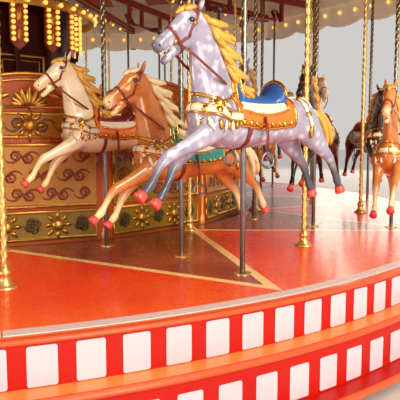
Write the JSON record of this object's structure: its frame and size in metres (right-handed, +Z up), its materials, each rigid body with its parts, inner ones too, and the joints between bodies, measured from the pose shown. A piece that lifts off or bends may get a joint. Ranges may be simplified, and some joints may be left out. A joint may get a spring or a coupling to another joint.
{
  "type": "fairground carousel",
  "caption": "Round galloping-horse roundabout: a turning platform hung from an overhead frame, carved horses on cranked brass rods, fixed panelled centre, canvas tilt.",
  "frame": {"origin": "on the ground at the centre of the ride", "axes": "+Z up along the king pole, +X and +Y along the beams of the base"},
  "size_m": [13.288, 13.288, 7.7803],
  "materials": {
    "timber": "sawn timber, worn",
    "steel": "oiled steel",
    "case_paint": "gloss painted boards with gilt lines",
    "frame_paint": "gloss painted timber beams",
    "canvas": "striped canvas",
    "gilt": "gilded carving",
    "deck_paint": "gloss painted boards",
    "step_paint": "gloss painted boards with cream squares",
    "board_paint": "gloss painted and gilded",
    "panel_paint": "gloss painted with lining",
    "cream_coat": "gloss painted carving on a brass rod",
    "grey_coat": "gloss painted carving on a brass rod",
    "chestnut_coat": "gloss painted carving on a brass rod",
    "black_coat": "gloss painted carving on a brass rod"
  },
  "bodies": {
    "centre": {"centre_base": "timber", "centre_floor": "timber", "king_pole": "steel", "centre_case": "case_paint", "centre_panels_1": "panel_paint", "centre_panels_2": "panel_paint", "centre_panels_3": "panel_paint", "centre_panels_4": "panel_paint"},
    "turntable": {"overhead_frame": "frame_paint", "rim": "frame_paint", "tilt": "canvas", "crown": "gilt", "platform_1": "deck_paint", "platform_2": "deck_paint", "platform_3": "deck_paint", "platform_4": "deck_paint", "steps_1": "step_paint", "steps_2": "step_paint", "steps_3": "step_paint", "steps_4": "step_paint", "rounding_boards_1": "board_paint", "rounding_boards_2": "board_paint", "rounding_boards_3": "board_paint", "rounding_boards_4": "board_paint"},
    "horses_high": {"horse_outer_01": "cream_coat", "horse_inner_02": "cream_coat", "horse_middle_03": "black_coat", "horse_outer_04": "black_coat", "horse_inner_05": "black_coat", "horse_middle_06": "chestnut_coat", "horse_outer_07": "chestnut_coat", "horse_inner_08": "chestnut_coat", "horse_middle_09": "grey_coat", "horse_outer_10": "grey_coat", "horse_inner_11": "grey_coat", "horse_middle_12": "cream_coat"},
    "horses_low": {"horse_middle_01": "grey_coat", "horse_outer_02": "grey_coat", "horse_inner_03": "grey_coat", "horse_middle_04": "cream_coat", "horse_outer_05": "cream_coat", "horse_inner_06": "cream_coat", "horse_middle_07": "black_coat", "horse_outer_08": "black_coat", "horse_inner_09": "black_coat", "horse_middle_10": "chestnut_coat", "horse_outer_11": "chestnut_coat", "horse_inner_12": "chestnut_coat"},
    "horses_level": {"horse_inner_01": "black_coat", "horse_middle_02": "chestnut_coat", "horse_outer_03": "chestnut_coat", "horse_inner_04": "chestnut_coat", "horse_middle_05": "grey_coat", "horse_outer_06": "grey_coat", "horse_inner_07": "grey_coat", "horse_middle_08": "cream_coat", "horse_outer_09": "cream_coat", "horse_inner_10": "cream_coat", "horse_middle_11": "black_coat", "horse_outer_12": "black_coat"}
  },
  "joints": [
    {"name": "platform_spin", "type": "hinge", "parent": "centre", "child": "turntable", "pos_m": [0, 0, 4], "axis": [0, 0, 1], "continuous": true},
    {"name": "gallop_high", "type": "slide", "parent": "turntable", "child": "horses_high", "axis": [0, 0, 1], "range_m": [-0.3359, 0.0241]},
    {"name": "gallop_low", "type": "slide", "parent": "turntable", "child": "horses_low", "axis": [0, 0, 1], "range_m": [-0.0241, 0.3359]},
    {"name": "gallop_level", "type": "slide", "parent": "turntable", "child": "horses_level", "axis": [0, 0, 1], "range_m": [-0.18, 0.18]}
  ]
}
